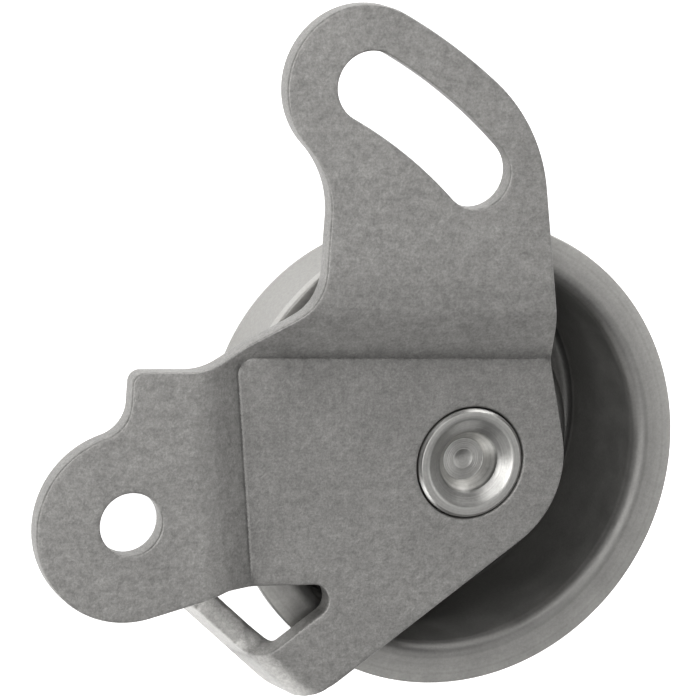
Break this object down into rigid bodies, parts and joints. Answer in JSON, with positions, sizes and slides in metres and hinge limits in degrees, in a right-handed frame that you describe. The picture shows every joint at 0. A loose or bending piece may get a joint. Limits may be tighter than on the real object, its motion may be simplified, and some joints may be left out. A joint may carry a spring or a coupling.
{
  "type": "timing belt tensioner pulley",
  "caption": "Timing belt tensioner: a flanged pressed steel pulley on a sealed ball bearing, held by a riveted stud in a stamped steel bracket with a pivot hole and a curved adjusting slot.",
  "frame": {"origin": "on the pulley's axis at its front face, in the flat head of the stud", "axes": "+Z along the pulley's axis from its front face towards the bracket and the engine; +Y towards the ear with the adjusting slot, -X towards the ear with the pivot hole"},
  "size_m": [0.0907, 0.0918, 0.0309],
  "materials": {
    "stamped_steel": "tumbled after stamping, dull grey",
    "drawn_steel": "drawn sheet, satin",
    "turned_steel": "turned, fairly bright",
    "bearing_steel": "ground and polished",
    "cage_steel": "pressed sheet, satin",
    "seal_rubber": "matte black"
  },
  "bodies": {
    "bracket": {"bracket": "stamped_steel", "stud": "turned_steel", "spacer_sleeve": "turned_steel", "bearing_inner_ring": "bearing_steel"},
    "pulley": {"pulley_shell": "drawn_steel", "bearing_outer_ring": "bearing_steel", "front_seal": "seal_rubber", "rear_seal": "seal_rubber"},
    "cage": {"cage_front_half": "cage_steel", "cage_rear_half": "cage_steel", "cage_rivet_1": "cage_steel", "cage_rivet_2": "cage_steel", "cage_rivet_3": "cage_steel", "cage_rivet_4": "cage_steel", "cage_rivet_5": "cage_steel", "cage_rivet_6": "cage_steel", "cage_rivet_7": "cage_steel", "cage_rivet_8": "cage_steel", "ball_1": "bearing_steel", "ball_2": "bearing_steel", "ball_3": "bearing_steel", "ball_4": "bearing_steel", "ball_5": "bearing_steel", "ball_6": "bearing_steel", "ball_7": "bearing_steel", "ball_8": "bearing_steel"}
  },
  "joints": [
    {"name": "pulley_spin", "type": "hinge", "parent": "bracket", "child": "pulley", "pos_m": [0, 0, 0.0081], "axis": [0, 0, 1], "continuous": true},
    {"name": "cage_spin", "type": "hinge", "parent": "bracket", "child": "cage", "pos_m": [0, 0, 0.0081], "axis": [0, 0, 1], "continuous": true}
  ],
  "couplings": [
    {"joint": "cage_spin", "follows": "pulley_spin", "ratio": 0.6192}
  ]
}
